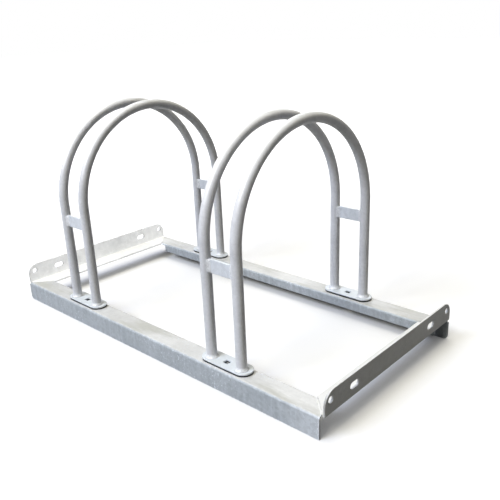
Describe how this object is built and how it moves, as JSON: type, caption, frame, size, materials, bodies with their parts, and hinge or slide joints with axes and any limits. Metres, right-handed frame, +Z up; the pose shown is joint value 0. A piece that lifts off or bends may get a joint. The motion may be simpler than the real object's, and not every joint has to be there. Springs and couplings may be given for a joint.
{
  "type": "floor bike rack",
  "caption": "Low galvanised floor rack for bicycles: a folded sheet frame that carries pairs of round-bar hoops, each pair holding a wheel upright between them.",
  "frame": {"origin": "on the floor, half way along the rack and half way across it", "axes": "+X along the rails towards the right end angle, +Y from the near rail to the far rail, +Z up"},
  "size_m": [0.7, 0.338, 0.3715],
  "materials": {
    "galvanised_frame": "hot-dip galvanised folded sheet, satin, with faint spangle",
    "galvanised_bar": "hot-dip galvanised round bar, smooth satin",
    "galvanised_flat": "hot-dip galvanised flat bar, satin",
    "weld_metal": "galvanised weld bead, rippled",
    "zinc_fastener": "zinc plated, satin"
  },
  "bodies": {
    "root": {"near_rail": "galvanised_frame", "far_rail": "galvanised_frame", "left_end_angle": "galvanised_frame", "right_end_angle": "galvanised_frame", "left_outer_hoop": "galvanised_bar", "left_inner_hoop": "galvanised_bar", "right_inner_hoop": "galvanised_bar", "right_outer_hoop": "galvanised_bar", "left_near_foot_plate": "galvanised_flat", "left_far_foot_plate": "galvanised_flat", "right_near_foot_plate": "galvanised_flat", "right_far_foot_plate": "galvanised_flat", "left_near_spacer_bar": "galvanised_flat", "left_far_spacer_bar": "galvanised_flat", "right_near_spacer_bar": "galvanised_flat", "right_far_spacer_bar": "galvanised_flat", "left_near_corner_weld": "weld_metal", "left_outer_near_leg_weld": "weld_metal", "left_outer_near_spacer_weld": "weld_metal", "left_inner_near_leg_weld": "weld_metal", "left_inner_near_spacer_weld": "weld_metal", "left_far_corner_weld": "weld_metal", "left_outer_far_leg_weld": "weld_metal", "left_outer_far_spacer_weld": "weld_metal", "left_inner_far_leg_weld": "weld_metal", "left_inner_far_spacer_weld": "weld_metal", "right_near_corner_weld": "weld_metal", "right_inner_near_leg_weld": "weld_metal", "right_inner_near_spacer_weld": "weld_metal", "right_outer_near_leg_weld": "weld_metal", "right_outer_near_spacer_weld": "weld_metal", "right_far_corner_weld": "weld_metal", "right_inner_far_leg_weld": "weld_metal", "right_inner_far_spacer_weld": "weld_metal", "right_outer_far_leg_weld": "weld_metal", "right_outer_far_spacer_weld": "weld_metal", "left_outer_near_foot_screw": "zinc_fastener", "left_inner_near_foot_screw": "zinc_fastener", "left_outer_far_foot_screw": "zinc_fastener", "left_inner_far_foot_screw": "zinc_fastener", "right_inner_near_foot_screw": "zinc_fastener", "right_outer_near_foot_screw": "zinc_fastener", "right_inner_far_foot_screw": "zinc_fastener", "right_outer_far_foot_screw": "zinc_fastener", "left_outer_near_foot_washer": "zinc_fastener", "left_inner_near_foot_washer": "zinc_fastener", "left_outer_far_foot_washer": "zinc_fastener", "left_inner_far_foot_washer": "zinc_fastener", "right_inner_near_foot_washer": "zinc_fastener", "right_outer_near_foot_washer": "zinc_fastener", "right_inner_far_foot_washer": "zinc_fastener", "right_outer_far_foot_washer": "zinc_fastener"}
  },
  "joints": []
}
